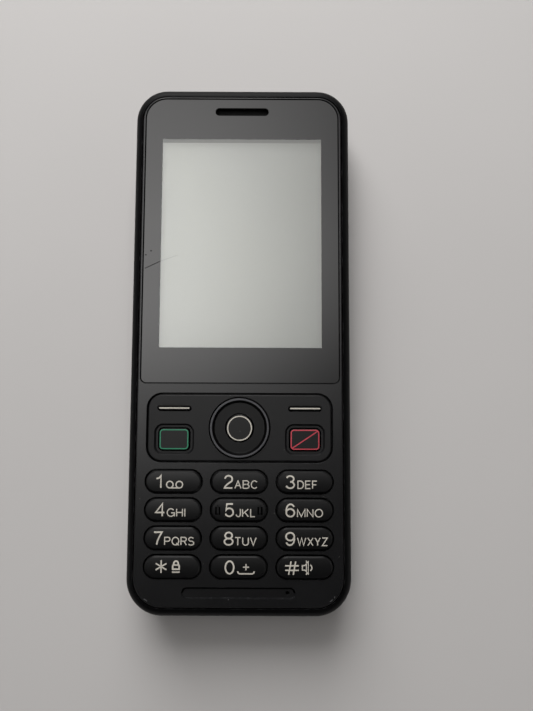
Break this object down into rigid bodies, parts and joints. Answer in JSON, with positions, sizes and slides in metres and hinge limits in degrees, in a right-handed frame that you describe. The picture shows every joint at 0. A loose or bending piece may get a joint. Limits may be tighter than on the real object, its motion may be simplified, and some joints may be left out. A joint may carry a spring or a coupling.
{
  "type": "mobile phone",
  "caption": "Bar-shaped mobile phone with a flat display window, a rocking function plate with a navigation ring, and rows of pill-shaped number keys.",
  "frame": {"origin": "middle of the back face, on which the phone lies", "axes": "+X across the face to its right, +Y along the phone to the earpiece end, +Z out of the display"},
  "size_m": [0.0506, 0.122, 0.0136],
  "materials": {
    "shell_black": "fine matte",
    "window_clear": "clear polished",
    "mask_black": "black film",
    "display_pale": "pale display",
    "tray_white": "white moulding",
    "plate_black": "satin",
    "key_black": "satin",
    "mat_rubber": "silicone",
    "film_clear": "film",
    "board_green": "solder mask",
    "flex_amber": "film",
    "can_steel": "stamped",
    "contact_gold": "plated",
    "socket_black": "moulded",
    "light_white": "diffuser",
    "battery_grey": "film wrap"
  },
  "bodies": {
    "phone": {"front_cover": "shell_black", "frame": "shell_black", "display_window": "window_clear", "window_tape": "mask_black", "display_gasket": "mask_black", "earpiece_mesh": "mask_black", "speaker_mesh": "mask_black", "lcd_panel": "display_pale", "lcd_tray": "tray_white", "keypad_mat": "mat_rubber", "mic_boot": "mat_rubber", "dome_sheet": "film_clear", "main_board": "board_green", "display_flex": "flex_amber", "antenna": "flex_amber", "shield_cans": "can_steel", "sim_holder": "can_steel", "usb_socket": "can_steel", "vibration_motor": "can_steel", "case_screws": "can_steel", "microphone": "can_steel", "earpiece": "can_steel", "contact_springs": "contact_gold", "contact_block": "socket_black", "audio_jack": "socket_black", "usb_tongue": "socket_black", "loudspeaker": "socket_black", "camera_module": "socket_black", "keypad_lights": "light_white", "battery": "battery_grey"},
    "key_1": {"key_1": "key_black"},
    "key_2": {"key_2": "key_black"},
    "key_3": {"key_3": "key_black"},
    "key_4": {"key_4": "key_black"},
    "key_5": {"key_5": "key_black"},
    "key_6": {"key_6": "key_black"},
    "key_7": {"key_7": "key_black"},
    "key_8": {"key_8": "key_black"},
    "key_9": {"key_9": "key_black"},
    "key_star": {"key_star": "key_black"},
    "key_0": {"key_0": "key_black"},
    "key_hash": {"key_hash": "key_black"},
    "ok_key": {"ok_key": "key_black"},
    "call_key": {"call_key": "key_black"},
    "end_key": {"end_key": "key_black"},
    "function_plate": {"function_plate": "plate_black"},
    "nav_rocker": {"nav_rocker": "key_black"},
    "nav_ring": {"nav_ring": "key_black"},
    "battery_cover": {"battery_cover": "shell_black", "camera_glass": "window_clear"},
    "motor_weight": {"motor_weight": "can_steel"}
  },
  "joints": [
    {"name": "key_1_press", "type": "slide", "parent": "phone", "child": "key_1", "axis": [0, 0, -1], "range_m": [0, 0.0003], "stiffness_N_per_m": 2500},
    {"name": "key_2_press", "type": "slide", "parent": "phone", "child": "key_2", "axis": [0, 0, -1], "range_m": [0, 0.0003], "stiffness_N_per_m": 2500},
    {"name": "key_3_press", "type": "slide", "parent": "phone", "child": "key_3", "axis": [0, 0, -1], "range_m": [0, 0.0003], "stiffness_N_per_m": 2500},
    {"name": "key_4_press", "type": "slide", "parent": "phone", "child": "key_4", "axis": [0, 0, -1], "range_m": [0, 0.0003], "stiffness_N_per_m": 2500},
    {"name": "key_5_press", "type": "slide", "parent": "phone", "child": "key_5", "axis": [0, 0, -1], "range_m": [0, 0.0003], "stiffness_N_per_m": 2500},
    {"name": "key_6_press", "type": "slide", "parent": "phone", "child": "key_6", "axis": [0, 0, -1], "range_m": [0, 0.0003], "stiffness_N_per_m": 2500},
    {"name": "key_7_press", "type": "slide", "parent": "phone", "child": "key_7", "axis": [0, 0, -1], "range_m": [0, 0.0003], "stiffness_N_per_m": 2500},
    {"name": "key_8_press", "type": "slide", "parent": "phone", "child": "key_8", "axis": [0, 0, -1], "range_m": [0, 0.0003], "stiffness_N_per_m": 2500},
    {"name": "key_9_press", "type": "slide", "parent": "phone", "child": "key_9", "axis": [0, 0, -1], "range_m": [0, 0.0003], "stiffness_N_per_m": 2500},
    {"name": "key_star_press", "type": "slide", "parent": "phone", "child": "key_star", "axis": [0, 0, -1], "range_m": [0, 0.0003], "stiffness_N_per_m": 2500},
    {"name": "key_0_press", "type": "slide", "parent": "phone", "child": "key_0", "axis": [0, 0, -1], "range_m": [0, 0.0003], "stiffness_N_per_m": 2500},
    {"name": "key_hash_press", "type": "slide", "parent": "phone", "child": "key_hash", "axis": [0, 0, -1], "range_m": [0, 0.0003], "stiffness_N_per_m": 2500},
    {"name": "ok_key_press", "type": "slide", "parent": "phone", "child": "ok_key", "axis": [0, 0, -1], "range_m": [0, 0.0003], "stiffness_N_per_m": 2500},
    {"name": "call_key_press", "type": "slide", "parent": "phone", "child": "call_key", "axis": [0, 0, -1], "range_m": [0, 0.0003], "stiffness_N_per_m": 2500},
    {"name": "end_key_press", "type": "slide", "parent": "phone", "child": "end_key", "axis": [0, 0, -1], "range_m": [0, 0.0003], "stiffness_N_per_m": 2500},
    {"name": "function_plate_rock", "type": "hinge", "parent": "phone", "child": "function_plate", "pos_m": [0, -0.01914, 0.01035], "axis": [0, 1, 0], "range_deg": [-0.9, 0.9], "stiffness_Nm_per_rad": 0.8},
    {"name": "nav_tip_up_down", "type": "hinge", "parent": "phone", "child": "nav_rocker", "pos_m": [0, -0.01914, 0.0098], "axis": [1, 0, 0], "range_deg": [-2, 2], "stiffness_Nm_per_rad": 0.15},
    {"name": "nav_tip_left_right", "type": "hinge", "parent": "nav_rocker", "child": "nav_ring", "pos_m": [0, -0.01914, 0.01055], "axis": [0, 1, 0], "range_deg": [-2, 2], "stiffness_Nm_per_rad": 0.15},
    {"name": "battery_cover_lift", "type": "slide", "parent": "phone", "child": "battery_cover", "axis": [0, 0, -1], "range_m": [0, 0.012]},
    {"name": "motor_weight_spin", "type": "hinge", "parent": "phone", "child": "motor_weight", "pos_m": [0.0145, 0.03318, 0.00445], "axis": [1, 0, 0], "continuous": true}
  ]
}
